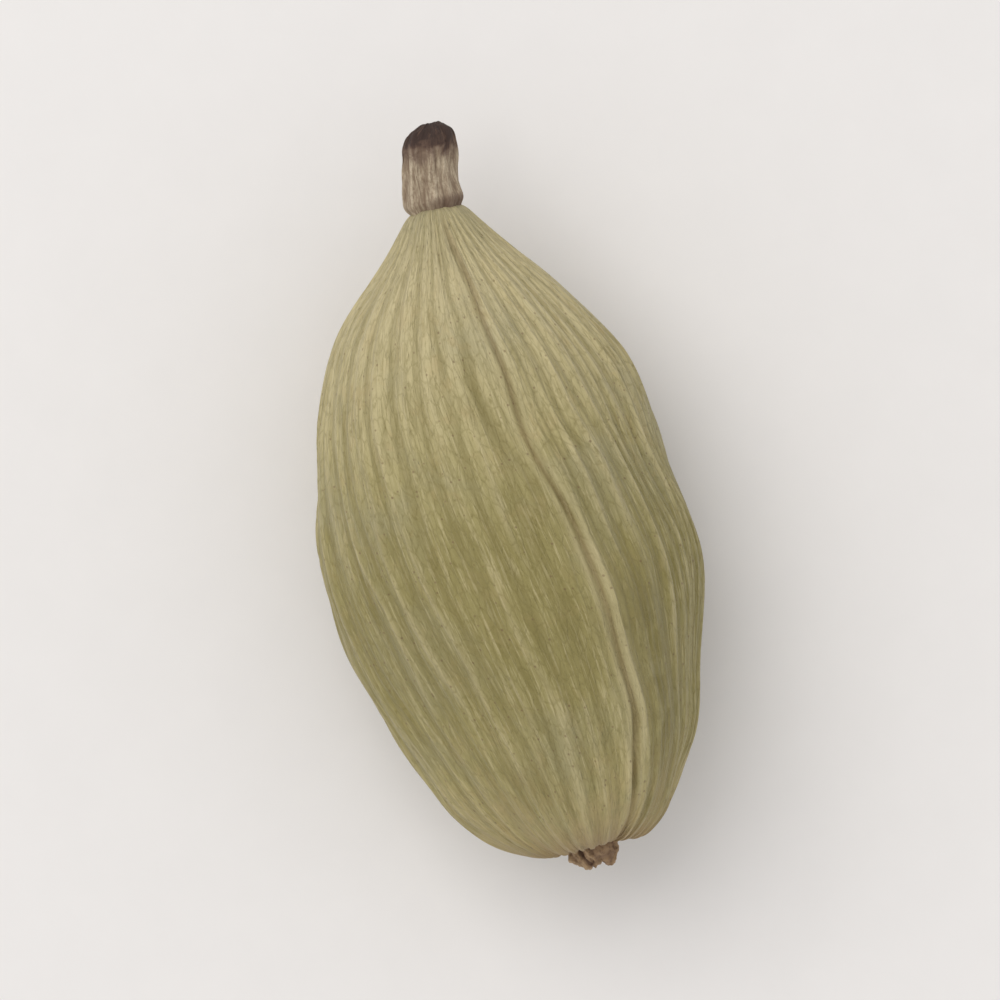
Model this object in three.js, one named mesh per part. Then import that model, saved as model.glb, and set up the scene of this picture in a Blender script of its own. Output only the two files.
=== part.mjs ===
// A dried green cardamom pod, lying on its side.
//
// The fruit is a closed capsule of three valves grown together. It hangs on to a short stub of its
// stalk and ends in the withered remnant of its flower. Three seams run from the neck to the tip,
// one along each rounded angle of the capsule, and fine ribs run side by side between them.
//
// Millimetres, +Z up. The long axis lies along X, with the stalk at -X and the tip at +X. The
// origin is on the resting surface, under the middle of the pod. While the pieces are drawn, x is
// counted from the cut end of the stalk, and y and z from the straight line between the two ends.

import * as THREE from 'three';

const { clamp, degToRad, smoothstep } = THREE.MathUtils;

// Driving dimensions

const POD_LENGTH = 13.0; // from the cut end of the stalk to the end of the flower remnant
const STALK_LENGTH = 1.4;
const TIP_HOLLOW_X = 12.32; // floor of the small hollow that the flower remnant stands in
const AXIS_HEIGHT = 2.73; // of the pod's axis over the surface that it rests on
const AXIS_BOW = 0.3; // how far the middle of the pod bows to one side
const BOW_EARLINESS = 0.55; // below 1, the bow is deepest in the stalk's half of the pod
const JOINT_GAP = 0.03; // between the capsule and the pieces at its two ends

// Outlines: distance from the cut end of the stalk, and half-width there. The capsule's turns in
// over the blunt tip and down into the hollow.
const CAPSULE_OUTLINE = [
  [STALK_LENGTH, 0.47],
  [1.8, 0.7],
  [2.4, 1.15],
  [3.2, 1.8],
  [4.3, 2.47],
  [5.7, 2.88],
  [7.5, 3.04],
  [9.2, 2.84],
  [10.5, 2.47],
  [11.5, 2.04],
  [12.15, 1.57],
  [12.5, 1.1],
  [12.6, 0.84],
  [12.54, 0.62],
  [TIP_HOLLOW_X, 0.48],
];
const STALK_OUTLINE = [
  [0.06, 0.32],
  [0, 0.43],
  [0.12, 0.51],
  [0.5, 0.5],
  [0.75, 0.43],
  [1.05, 0.39],
  [STALK_LENGTH - JOINT_GAP, 0.42],
];
const REMNANT_OUTLINE = [
  [TIP_HOLLOW_X + JOINT_GAP, 0.36],
  [12.55, 0.42],
  [12.76, 0.39],
  [12.92, 0.29],
  [POD_LENGTH, 0.16],
];

// The valves, in degrees round the axis from +Y over the top: where the first seam lies at half its
// twist, and how far each valve spans. A pod's valves are never quite alike.
const FIRST_SEAM = 70;
const VALVE_SPANS = [136, 122, 102];
const RIBS_PER_VALVE = 12;
const SEAM_TWIST = 20; // how far the seams wind on their way from the neck to the tip
const SEAM_TWIST_START = 2.5;
const SEAM_TWIST_END = 12.6;

// Section of the capsule
const ANGLE_HEIGHT = 0.045; // share of the half-width by which the three angles stand out
const ANGLES_BETWEEN = [0.5, 4]; // where along the pod they grow out of the round neck
const BROADNESS = 0.025; // share by which the pod is broader than it is thick

// Relief
const RIB_HEIGHT = 0.09;
const RIB_EVENNESS = 0.65; // share of that height that every rib has, everywhere
const RIB_VARIETY = 2.4; // how fast the rest of it changes from line to line
const RIB_WAVER = 0.5; // and along the pod
const SEAM_DEPTH = 0.1;
const SEED_SWELL = 0.045; // the wall swells a little over each seed of a row
const SEED_PITCH = 2.1;
const SEEDS_BEGIN = [2.5, 5];
const SEEDS_END = [10.5, 12];
const TIP_LOBE = 0.24; // how far the middle of a valve's end lies past its seams at the tip
const LOBE_INNER_EDGE = [0.5, 0.9]; // half-widths between which the lobes rise and fade again
const LOBE_OUTER_EDGE = [1.1, 2.2];
const MEAN_LOBE = 0.7; // keeps the tip where the outline has it
const STALK_FIBRES = 9;
const STALK_FIBRE_HEIGHT = 0.05;
const REMNANT_FOLDS = 5;
const REMNANT_FOLD_HEIGHT = 0.18; // share of the remnant's half-width
const REMNANT_SMOOTH_BASE = 0.3; // the folds reach that height this far up
const REMNANT_TWIST = 3; // turn of its folds for each millimetre, in radians

// How finely each piece is drawn. Every second line of the capsule is the crest of a rib.
const CAPSULE_RINGS = 46;
const LINES_PER_VALVE = 2 * RIBS_PER_VALVE;
const STALK_RINGS = 12;
const REMNANT_RINGS = 9;
const LINES_PER_FOLD = 5;

const WIDEST = Math.max(...CAPSULE_OUTLINE.map(([, halfWidth]) => halfWidth));

const olive = new THREE.MeshStandardMaterial({ color: 0x969062, roughness: 0.7, metalness: 0 });
const driedStalk = new THREE.MeshStandardMaterial({ color: 0x7b6248, roughness: 0.85, metalness: 0 });
const witheredBrown = new THREE.MeshStandardMaterial({ color: 0x4a3320, roughness: 0.9, metalness: 0 });

// Points of an outline, evenly spaced along the smooth curve through it.
function smoothOutline(outline, rings) {
  const points = outline.map(([x, halfWidth]) => new THREE.Vector2(x, halfWidth));
  return new THREE.SplineCurve(points).getSpacedPoints(rings - 1);
}

// A point at a distance and direction from the pod's middle, which bows a little to one side.
function aroundAxis(x, radius, angle) {
  const share = clamp(x / POD_LENGTH, 0, 1);
  const bow = -AXIS_BOW * Math.sin(Math.PI * share ** BOW_EARLINESS);
  return new THREE.Vector3(x, bow + radius * Math.cos(angle), radius * Math.sin(angle));
}

// A closed body drawn ring by ring along X. pointAt gives the point of a ring on one of its lines,
// and a fan of triangles round their middle closes the first and the last ring.
function ringBody(rings, lines, pointAt) {
  const points = [];
  const faces = [];
  for (let ring = 0; ring < rings; ring += 1) {
    for (let line = 0; line < lines; line += 1) {
      points.push(pointAt(ring, line));
    }
  }
  for (let ring = 0; ring < rings - 1; ring += 1) {
    for (let line = 0; line < lines; line += 1) {
      const here = ring * lines + line;
      const beside = ring * lines + ((line + 1) % lines);
      faces.push(here, beside, beside + lines);
      faces.push(here, beside + lines, here + lines);
    }
  }
  for (const ring of [0, rings - 1]) {
    const first = ring * lines;
    const middle = new THREE.Vector3();
    for (let line = 0; line < lines; line += 1) {
      middle.addScaledVector(points[first + line], 1 / lines);
      const here = first + line;
      const beside = first + ((line + 1) % lines);
      const edge = ring === 0 ? [beside, here] : [here, beside];
      faces.push(rings * lines + (ring === 0 ? 0 : 1), ...edge);
    }
    points.push(middle);
  }
  const geometry = new THREE.BufferGeometry().setFromPoints(points);
  geometry.setIndex(faces);
  geometry.computeVertexNormals();
  return geometry;
}

// How far across its valve a line lies, from 0 at one seam to 1 at the next.
function acrossValve(line) {
  return (line % LINES_PER_VALVE) / LINES_PER_VALVE;
}

// Direction of a line of the capsule. The seams and the ribs between them wind a little.
function lineAngle(line, x) {
  const valve = Math.floor(line / LINES_PER_VALVE);
  const before = VALVE_SPANS.slice(0, valve).reduce((sum, span) => sum + span, 0);
  const twist = SEAM_TWIST * (0.5 - smoothstep(x, SEAM_TWIST_START, SEAM_TWIST_END));
  return degToRad(FIRST_SEAM + before + acrossValve(line) * VALVE_SPANS[valve] + twist);
}

// The ribs, each with its own strength that comes and goes along the pod, and the seams, which are
// grooves between the two ribs beside them.
function ribRelief(line, x) {
  if (acrossValve(line) === 0) {
    return -SEAM_DEPTH;
  }
  const change = Math.sin(RIB_VARIETY * line + RIB_WAVER * x);
  const strength = RIB_EVENNESS + (1 - RIB_EVENNESS) * change;
  const side = line % 2 === 1 ? 0.5 : -0.5;
  return side * RIB_HEIGHT * strength;
}

// Near the tip each valve ends in a low lobe, and its seams fall back between the lobes.
function tipLobe(line, x, halfWidth) {
  if (x < POD_LENGTH / 2) {
    return 0;
  }
  const nearTip = smoothstep(halfWidth, ...LOBE_INNER_EDGE) * (1 - smoothstep(halfWidth, ...LOBE_OUTER_EDGE));
  return TIP_LOBE * nearTip * (Math.sin(Math.PI * acrossValve(line)) - MEAN_LOBE);
}

// The capsule: a rounded three-sided section that softens towards the neck, with the relief of its
// seams, ribs and seeds, and a small flat spot that it rests on.
function capsuleGeometry() {
  const outline = smoothOutline(CAPSULE_OUTLINE, CAPSULE_RINGS);
  const lines = VALVE_SPANS.length * LINES_PER_VALVE;
  return ringBody(outline.length, lines, (ring, line) => {
    const { x, y: halfWidth } = outline[ring];
    const angle = lineAngle(line, x);
    const nearSeam = Math.cos(2 * Math.PI * acrossValve(line));
    const threeSided = ANGLE_HEIGHT * nearSeam * smoothstep(x, ...ANGLES_BETWEEN);
    const section = 1 + threeSided + BROADNESS * Math.cos(2 * angle);

    const seedRow = smoothstep(x, ...SEEDS_BEGIN) * (1 - smoothstep(x, ...SEEDS_END));
    const seedWave = Math.cos((2 * Math.PI * x) / SEED_PITCH);
    const seeds = SEED_SWELL * seedRow * seedWave * Math.max(0, nearSeam);
    const ribs = ribRelief(line, x) * Math.sqrt(halfWidth / WIDEST);
    const radius = halfWidth * section + seeds + ribs;

    const point = aroundAxis(x, radius, angle);
    point.x += tipLobe(line, x, halfWidth);
    point.z = Math.max(point.z, -AXIS_HEIGHT);
    return point;
  });
}

// The stub of the stalk: a narrow neck and a wider cut end, with a few coarse fibres along it.
function stalkGeometry() {
  const outline = smoothOutline(STALK_OUTLINE, STALK_RINGS);
  const lines = 2 * STALK_FIBRES;
  return ringBody(outline.length, lines, (ring, line) => {
    const { x, y: halfWidth } = outline[ring];
    const fibre = line % 2 === 0 ? STALK_FIBRE_HEIGHT / 2 : -STALK_FIBRE_HEIGHT / 2;
    return aroundAxis(x, halfWidth + fibre, (2 * Math.PI * line) / lines);
  });
}

// The withered flower: a small crumpled scrap whose folds wind round it.
function remnantGeometry() {
  const outline = smoothOutline(REMNANT_OUTLINE, REMNANT_RINGS);
  const lines = LINES_PER_FOLD * REMNANT_FOLDS;
  return ringBody(outline.length, lines, (ring, line) => {
    const { x, y: halfWidth } = outline[ring];
    const angle = (2 * Math.PI * line) / lines;
    const rise = x - TIP_HOLLOW_X;
    const fold = REMNANT_FOLD_HEIGHT * smoothstep(rise, 0, REMNANT_SMOOTH_BASE);
    const wave = Math.cos(REMNANT_FOLDS * angle + REMNANT_TWIST * rise);
    return aroundAxis(x, halfWidth * (1 + fold * wave), angle);
  });
}

function piece(name, geometry, material) {
  const mesh = new THREE.Mesh(geometry, material);
  mesh.name = name;
  return mesh;
}

const pod = new THREE.Group();
pod.add(piece('capsule', capsuleGeometry(), olive));
pod.add(piece('stalk_stub', stalkGeometry(), driedStalk));
pod.add(piece('flower_remnant', remnantGeometry(), witheredBrown));

// The origin goes on the resting surface, under the middle of the pod.
const middle = new THREE.Box3().setFromObject(pod).getCenter(new THREE.Vector3());
pod.position.set(-middle.x, -middle.y, AXIS_HEIGHT);

export default pod;
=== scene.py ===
# %% [markdown]
# # A dried green cardamom pod
# The pod is a small dried fruit. Three valves have grown together into one closed, ribbed capsule,
# which still carries a stub of its stalk at one end and a scrap of its withered flower at the other.
# A plain solid model of it comes first and is never changed. It says where each piece lies, in metres,
# and how large the finished pod may be, so its box is noted before anything is added.

# %% Load the solid model
import math

import bmesh
import bpy
import numpy as np
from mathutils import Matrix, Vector
from mathutils.bvhtree import BVHTree


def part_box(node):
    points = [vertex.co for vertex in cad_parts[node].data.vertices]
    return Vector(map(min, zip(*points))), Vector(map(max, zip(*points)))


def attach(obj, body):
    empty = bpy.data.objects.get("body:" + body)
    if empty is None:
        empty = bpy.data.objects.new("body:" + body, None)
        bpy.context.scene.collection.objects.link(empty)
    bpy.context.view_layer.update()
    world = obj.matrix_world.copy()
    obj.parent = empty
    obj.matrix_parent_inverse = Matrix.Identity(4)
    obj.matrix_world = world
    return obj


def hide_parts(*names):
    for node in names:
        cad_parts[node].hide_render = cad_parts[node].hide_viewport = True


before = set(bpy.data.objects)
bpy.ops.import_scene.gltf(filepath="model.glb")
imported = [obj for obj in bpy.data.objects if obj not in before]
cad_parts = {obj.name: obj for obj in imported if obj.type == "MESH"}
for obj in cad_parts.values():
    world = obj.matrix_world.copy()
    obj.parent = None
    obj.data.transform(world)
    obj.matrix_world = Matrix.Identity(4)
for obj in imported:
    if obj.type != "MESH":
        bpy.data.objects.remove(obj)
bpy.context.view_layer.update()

MM = 0.001


def in_mm(corner):
    """A place in metres as plain millimetres, for printing."""
    return [round(float(side) / MM, 2) for side in corner]


for name in sorted(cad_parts):
    lowest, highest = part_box(name)
    print(name, "from", in_mm(lowest), "to", in_mm(highest))

# %% [markdown]
# A pod has no straight line in it, but it has an axis. Here the axis runs along X, from the cut end of the
# stalk to the end of the flower, and it bows a little to one side, most of all in the stalk's half. All
# three pieces are shaped round that axis, so where it lies is worked out first, from the solid model.
# Distances along the pod are counted in millimetres from the cut end, as with a ruler laid beside it.

# %% The axis that everything is shaped round
POD_LENGTH = 13.0
CUT_END_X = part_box("flower_remnant")[1].x - POD_LENGTH * MM
AXIS_Y = 0.255 * MM
AXIS_Z = 2.73 * MM
AXIS_BOW = 0.3
BOW_EARLINESS = 0.55


def bow(along):
    """How far the axis bows sideways, in metres, at a distance along the pod in millimetres."""
    share = np.clip(np.asarray(along) / POD_LENGTH, 0, 1)
    return -AXIS_BOW * MM * np.sin(np.pi * share**BOW_EARLINESS)


def on_axis(along):
    """The place of the axis, in metres, at a distance along the pod in millimetres."""
    return (CUT_END_X + along * MM, AXIS_Y + float(bow(along)), AXIS_Z)


print("the cut end lies at", in_mm(on_axis(0)), "mm")

# %% [markdown]
# Every tool in this lesson acts on what is selected. Just after loading, the solid model's own pieces are
# still selected, and a new primitive is selected all over. So one helper leaves a single object selected,
# and another picks points by their number while a piece is open in edit mode.

# %% Selecting on purpose
def hold(piece):
    """Leaves only this piece selected."""
    bpy.ops.object.select_all(action="DESELECT")
    piece.select_set(True)
    bpy.context.view_layer.objects.active = piece


def open_up(piece):
    """Opens a piece in edit mode, ready for picking points."""
    hold(piece)
    bpy.ops.object.mode_set(mode="EDIT")
    bpy.context.tool_settings.mesh_select_mode = (True, False, False)


def close_up():
    """Goes back to object mode."""
    bpy.ops.object.mode_set(mode="OBJECT")


def pick(piece, numbers):
    """Selects these points, and the edges and faces that lie between them."""
    mesh = bmesh.from_edit_mesh(piece.data)
    mesh.verts.ensure_lookup_table()
    bpy.ops.mesh.select_all(action="DESELECT")
    for number in numbers:
        mesh.verts[number].select = True
    mesh.select_flush(True)
    bmesh.update_edit_mesh(piece.data)


bpy.ops.object.select_all(action="DESELECT")
print("selected now:", len(bpy.context.selected_objects))

# %% [markdown]
# The capsule swells from a narrow neck to its widest place just past the middle, and closes in a blunt tip
# that turns in round a small hollow. A profile could be spun for this. A sphere laid on its side does the
# same job, with closed poles and evenly spread points, so a sphere is the start here: it gets one ring for
# each place on the outline. A smoothed mesh shrinks away from its cage where the outline bends, so each
# ring is planned a little outside the outline, by as much as the smoothing will take back.

# %% Plan the rings of the capsule
# each place on the outline is how far along the pod it lies, and the radius there, in millimetres
CAPSULE_OUTLINE = [(1.4, 0.47), (1.8, 0.7), (2.4, 1.15), (3.2, 1.8), (4.3, 2.47), (5.7, 2.88), (7.5, 3.04)]
CAPSULE_OUTLINE += [(9.2, 2.84), (10.5, 2.47), (11.5, 2.04), (12.15, 1.57), (12.5, 1.1), (12.6, 0.84)]
CAPSULE_OUTLINE += [(12.54, 0.62), (12.32, 0.48)]
WIDEST = 3.04
LONG_STRETCH = 1.4  # a stretch of the outline that is longer than this gets a ring in its middle too
SMOOTHING_SHARE = 6  # smoothing pulls a ring in by the outline's bend there, divided by this


def plan_rings(outline):
    """The distance along the pod and the radius of each ring."""
    known = np.array(outline)
    padded = np.vstack([2 * known[0] - known[1], known, 2 * known[-1] - known[-2]])
    rings = []
    for number in range(1, len(known)):
        before, start, end, after = padded[number - 1 : number + 3]
        rings.append(start)
        if np.hypot(*(end - start)) > LONG_STRETCH:
            # half way along the smooth curve through the four places around it
            rings.append((9 * (start + end) - before - after) / 16)
    rings = np.array([*rings, known[-1]])
    bend = np.zeros_like(rings)
    bend[1:-1] = rings[:-2] - 2 * rings[1:-1] + rings[2:]
    return rings - bend / SMOOTHING_SHARE


rings = plan_rings(CAPSULE_OUTLINE)
print(len(rings), "rings, the widest", round(rings[:, 1].max(), 2), "mm in radius")

# %% [markdown]
# The sphere is added with its poles along X, one at each end of the pod. Later steps pick whole rings and
# whole lines of it, so each point's ring and line are worked out now, while it is still a plain sphere.

# %% Lay a sphere along the pod
LINES = 78  # points round each ring: 26 for each valve


def places(piece):
    """Where the points of a closed-up piece lie, one row for each."""
    found = np.empty(len(piece.data.vertices) * 3)
    piece.data.vertices.foreach_get("co", found)
    return found.reshape(-1, 3)


bpy.ops.mesh.primitive_uv_sphere_add(
    segments=LINES,
    ring_count=len(rings) + 1,
    radius=POD_LENGTH / 2 * MM,
    location=(CUT_END_X + POD_LENGTH / 2 * MM, AXIS_Y, AXIS_Z),
    rotation=(0, -math.pi / 2, 0),
)
capsule = bpy.context.object
capsule.name = "pod_capsule"
bpy.ops.object.transform_apply(location=True, rotation=True, scale=True)

sphere = places(capsule)
x_share = (sphere[:, 0] - CUT_END_X) / (POD_LENGTH * MM)
rings_down = np.arccos(np.clip(1 - 2 * x_share, -1, 1)) / np.pi * (len(rings) + 1)
ring_of = np.rint(rings_down).astype(int)
line_angle = np.degrees(np.arctan2(sphere[:, 2] - AXIS_Z, sphere[:, 1] - AXIS_Y))
line_of = np.rint(line_angle * LINES / 360).astype(int) % LINES
at_pole = (ring_of == 0) | (ring_of == len(rings) + 1)
print("each ring has", int((ring_of == 1).sum()), "points, and there are", int(at_pole.sum()), "poles")

# %% [markdown]
# A ring is shaped as by hand: pick it, slide it along the axis to its place, and scale it to its radius. The
# scaling is centred on the axis, so the ring grows evenly. The two poles only slide.

# %% Slide each ring along and fit it to the outline
STALK_POLE = 1.42
TIP_POLE = 12.28
poles = ((0, STALK_POLE), (len(rings) + 1, TIP_POLE))

open_up(capsule)
for number, (along, radius) in enumerate(rings, start=1):
    ring = np.flatnonzero(ring_of == number)
    pick(capsule, ring)
    slide = CUT_END_X + along * MM - sphere[ring[0], 0]
    bpy.ops.transform.translate(value=(slide, 0, 0))
    widen = radius * MM / np.hypot(sphere[ring[0], 1] - AXIS_Y, sphere[ring[0], 2] - AXIS_Z)
    bpy.ops.transform.resize(value=(1, widen, widen), center_override=(0, AXIS_Y, AXIS_Z))
for number, along in poles:
    pole = np.flatnonzero(ring_of == number)
    pick(capsule, pole)
    bpy.ops.transform.translate(value=(CUT_END_X + along * MM - sphere[pole[0], 0], 0, 0))
close_up()
print("the cage now reaches from", np.round((places(capsule)[:, 0].min() - CUT_END_X) / MM, 2), "mm")

# %% [markdown]
# The three valves are never alike. Seen from above, a broad valve faces the eye, and the seam beside it
# runs down right of the middle. The seams also wind a little between the neck and the tip. Both are done
# on the cage: each line of points is turned round the axis to its place in its own valve, then each ring is
# turned as a whole. The edges of the mesh then run the way the ribs do, which keeps the ribs crisp later.
# The rotate tool counts the other way round when no window is open, so every turn gets a minus sign.

# %% Turn the lines into three unequal valves
VALVE_SPANS = [136, 122, 102]
FIRST_SEAM = 70
LINES_PER_VALVE = LINES // 3
FIRST_SEAM_LINE = round(FIRST_SEAM * LINES / 360)
valve_starts = np.cumsum([0, *VALVE_SPANS])


def short_way(degrees):
    """The same turn, taken the shorter way round, so between -180 and 180."""
    return (degrees + 180) % 360 - 180


def turn_selected(degrees):
    """Turns what is selected round the axis."""
    bpy.ops.transform.rotate(
        value=-math.radians(degrees), orient_axis="X", center_override=(0, AXIS_Y, AXIS_Z)
    )


open_up(capsule)
for line in range(LINES):
    valve, step = divmod((line - FIRST_SEAM_LINE) % LINES, LINES_PER_VALVE)
    wanted = FIRST_SEAM + valve_starts[valve] + VALVE_SPANS[valve] * step / LINES_PER_VALVE
    here = line * 360 / LINES
    pick(capsule, np.flatnonzero((line_of == line) & ~at_pole))
    turn_selected(short_way(wanted - here))
close_up()
print("seams at", [int(FIRST_SEAM + degrees) % 360 for degrees in valve_starts[:3]], "degrees")

# %% [markdown]
# Each ring is then turned as a whole, a little more from ring to ring, which winds the seams. It is also
# made a little broader than it is high, because a pod that dries lying down flattens, and moved sideways by
# the bow of the axis. Subdivision last turns this coarse cage into a smooth, fine mesh.

# %% Wind the seams, flatten the pod a little and bow it
SEAM_TWIST = 20
TWIST_FROM = 2.5
TWIST_TO = 12.6
BROADNESS = 0.025
SMOOTHING_STEPS = 3


def rise(value, low, high):
    """Climbs smoothly from 0 at low to 1 at high."""
    share = np.clip((value - low) / (high - low), 0, 1)
    return share * share * (3 - 2 * share)


def twist(along):
    """How far the seams have wound at a distance along the pod, in degrees."""
    return SEAM_TWIST * (0.5 - rise(along, TWIST_FROM, TWIST_TO))


def finish_with(piece, kind, **settings):
    """Adds a modifier with these settings and applies it."""
    hold(piece)
    modifier = piece.modifiers.new(kind.title(), kind)
    for name, value in settings.items():
        setattr(modifier, name, value)
    bpy.ops.object.modifier_apply(modifier=modifier.name)


def smooth_out(piece):
    """Turns a coarse cage into a smooth, fine mesh."""
    finish_with(piece, "SUBSURF", levels=SMOOTHING_STEPS, render_levels=SMOOTHING_STEPS)
    print(piece.name, "now has", len(piece.data.polygons), "faces")


open_up(capsule)
for number, (along, _) in enumerate(rings, start=1):
    pick(capsule, np.flatnonzero(ring_of == number))
    turn_selected(float(twist(along)))
    broad = (1, 1 + BROADNESS, 1 - BROADNESS)
    bpy.ops.transform.resize(value=broad, center_override=(0, AXIS_Y, AXIS_Z))
    bpy.ops.transform.translate(value=(0, float(bow(along)), 0))
for number, along in poles:
    pick(capsule, np.flatnonzero(ring_of == number))
    bpy.ops.transform.translate(value=(0, float(bow(along)), 0))
close_up()
smooth_out(capsule)

# %% [markdown]
# The skin is shaped in layers from here: large forms first, then ribs, then the fine fibres. Sculpting by
# hand would do, but a pod's relief follows rules, so it is measured out. For each point of the skin, these
# lines work out how far along the pod it lies, which valve it is on and how far across that valve. Later
# cells read these lists as a map, and the material reads some of them too. The helper that measures a piece
# serves the stalk and the flower as well.

# %% Draw up a map of the skin
def measure_round(piece, broadness=0.0):
    """How far along the pod each point lies, how far from the axis, and in which direction from it."""
    spots = places(piece)
    along = (spots[:, 0] - CUT_END_X) / MM
    sideways = (spots[:, 1] - AXIS_Y - bow(along)) / MM / (1 + broadness)
    upwards = (spots[:, 2] - AXIS_Z) / MM / (1 - broadness)
    return along, np.hypot(sideways, upwards), np.arctan2(upwards, sideways)


along, radius, angle = measure_round(capsule, BROADNESS)
direction = np.degrees(angle)
turn = (direction - FIRST_SEAM - twist(along)) % 360
valve = np.clip(np.searchsorted(valve_starts, turn, side="right") - 1, 0, 2)
span = np.array(VALVE_SPANS)[valve]
across = (turn - valve_starts[valve]) / span
past_seam = np.where(across < 0.5, across, across - 1) * np.radians(span) * radius
print("the map covers", len(along), "points; the valves have", np.bincount(valve).tolist())

# %% [markdown]
# The brush is Blender's Displace modifier. A vertex group says how strongly it acts on each point, so one
# call lifts the skin by any pattern that can be worked out from the map. Where the pattern is below zero, a
# second round with the opposite strength sinks the skin.

# %% A brush that embosses the skin
FAINTEST_PUSH = 1 / 500  # points that would be pushed by less than this share of the most are left alone


def emboss(piece, name, height, way="NORMAL"):
    """Lifts the skin where height is above zero and sinks it where it is below, in millimetres."""
    for sign in (1, -1):
        part = np.clip(sign * height, 0, None)
        most = float(part.max())
        if most == 0:
            continue
        group = piece.vertex_groups.new(name=name)
        for point in np.flatnonzero(part > most * FAINTEST_PUSH):
            group.add([int(point)], float(part[point]) / most, "REPLACE")
        finish_with(
            piece, "DISPLACE", vertex_group=name, mid_level=0, strength=sign * most * MM, direction=way
        )
        piece.vertex_groups.remove(piece.vertex_groups[name])
    most_up = round(float(height.max()), 3)
    most_down = round(-float(height.min()), 3)
    print(name, "lifts up to", most_up, "and sinks up to", most_down, "mm")


print("pushes of less than", FAINTEST_PUSH, "of the strongest are left out")

# %% [markdown]
# The patterns that look random are soft patches: random values on a coarse grid, blended smoothly between.
# Two more helpers make the plain patterns: a hump, and a stretch of the pod that fades at both ends.

# %% Patterns for the brush
def dapple(cells_round, cells_along, seed):
    """Soft patches between 0 and 1. With few cells along the pod they are drawn out along the ribs."""
    draw = np.random.default_rng(seed).random((cells_round, cells_along + 2))
    column = (turn / 360 * cells_round) % cells_round
    row = np.clip(along / POD_LENGTH, 0, 1) * cells_along
    left = np.floor(column).astype(int)
    low = np.floor(row).astype(int)
    right_share = rise(column - left, 0, 1)
    high_share = rise(row - low, 0, 1)
    left %= cells_round
    right = (left + 1) % cells_round
    near = draw[left, low] * (1 - right_share) + draw[right, low] * right_share
    far = draw[left, low + 1] * (1 - right_share) + draw[right, low + 1] * right_share
    return near * (1 - high_share) + far * high_share


def hump(distance, width):
    """1 where the distance is 0, fading to nothing within about two widths."""
    return np.exp(-((distance / width) ** 2))


def stretch_of_pod(start, full, fading, end):
    """1 between two distances along the pod, fading to 0 outside them."""
    return rise(along, start, full) * (1 - rise(along, fading, end))


trial = dapple(9, 6, seed=1)
print("a trial of the patches runs from", round(float(trial.min()), 2), "to", round(float(trial.max()), 2))

# %% [markdown]
# First the section. Where two valves meet, the capsule stands out in a rounded angle, and the middle of each
# valve is flatter. The seeds press against the wall in rows along the seams and lift it in low swellings.
# At the blunt end each valve closes in a lobe of its own, and the seams fall back between the lobes.

# %% Angles, seed swellings and tip lobes
ANGLE_HEIGHT = 0.045
SEED_SWELL = 0.045
SEED_PITCH = 2.1
TIP_LOBE = 0.15
MEAN_LOBE = 0.7

near_seam = np.cos(2 * np.pi * across)
emboss(capsule, "angles", ANGLE_HEIGHT * radius * near_seam * rise(along, 0.5, 4))

seed_row = stretch_of_pod(2.5, 5, 10.5, 12)
seed_wave = np.cos(2 * np.pi * along / SEED_PITCH)
emboss(capsule, "seeds", SEED_SWELL * seed_row * seed_wave * np.clip(near_seam, 0, None))

at_tip = (along > POD_LENGTH / 2) * rise(radius, 0.5, 0.9) * (1 - rise(radius, 1.1, 2.2))
emboss(capsule, "lobes", TIP_LOBE * at_tip * (np.sin(np.pi * across) - MEAN_LOBE), way="X")

# %% [markdown]
# No pod is evenly plump. This one has a full shoulder on the left, below the neck, and a rather full belly
# and lobe below that. On the right it has two flats with a low bulge between them, and a slimmer lobe. Each
# is a soft round push with the same brush, at a distance along the pod and in a direction from its axis.

# %% Push the shoulder out and the flats in
RIGHT = 0
LEFT = 180


def round_area(at, towards, reach, breadth):
    """A soft round area that is 1 in its middle. Its reach is in millimetres and its breadth in degrees."""
    aside = short_way(direction - towards)
    return np.exp(-(((along - at) / reach) ** 2) - (aside / breadth) ** 2)


emboss(capsule, "left shoulder", 0.18 * round_area(at=3.4, towards=LEFT, reach=0.9, breadth=45))
emboss(capsule, "left belly", 0.06 * round_area(at=7.2, towards=LEFT, reach=1.2, breadth=40))
emboss(capsule, "left lobe", 0.08 * round_area(at=11.5, towards=LEFT, reach=0.6, breadth=40))
emboss(capsule, "right flat", -0.17 * round_area(at=6.4, towards=RIGHT, reach=1.0, breadth=35))
emboss(capsule, "right bulge", 0.03 * round_area(at=8.2, towards=RIGHT - 5, reach=0.7, breadth=35))
emboss(capsule, "right taper", -0.13 * round_area(at=10.0, towards=RIGHT, reach=1.1, breadth=35))
emboss(capsule, "right lobe", -0.12 * round_area(at=11.8, towards=RIGHT, reach=0.6, breadth=40))

# %% [markdown]
# A pod shrinks as it dries, and its wall settles between the seeds. That leaves shallow dents and a few
# long furrows, which catch the light as soft patches. They are drawn as large soft random patches, with a
# fixed seed so that the pod comes out the same each time. One crease is placed where the photograph shows
# it: it runs up the middle of the valve that faces the eye, in the stalk's half.

# %% Dents and furrows from drying
DENT_DEPTH = 0.13
FURROW_DEPTH = 0.1

body_only = stretch_of_pod(1.6, 3.6, 11.6, 12.4)
dents = dapple(11, 7, seed=4) - 0.5
furrows = dapple(26, 4, seed=9) - 0.5
emboss(capsule, "dents", (DENT_DEPTH * dents + FURROW_DEPTH * furrows) * body_only)

CREASE_TURN = 9
CREASE_WIDTH = 0.12
CREASE_DEPTH = 0.045
CREASE_WANDER = 3

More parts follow.
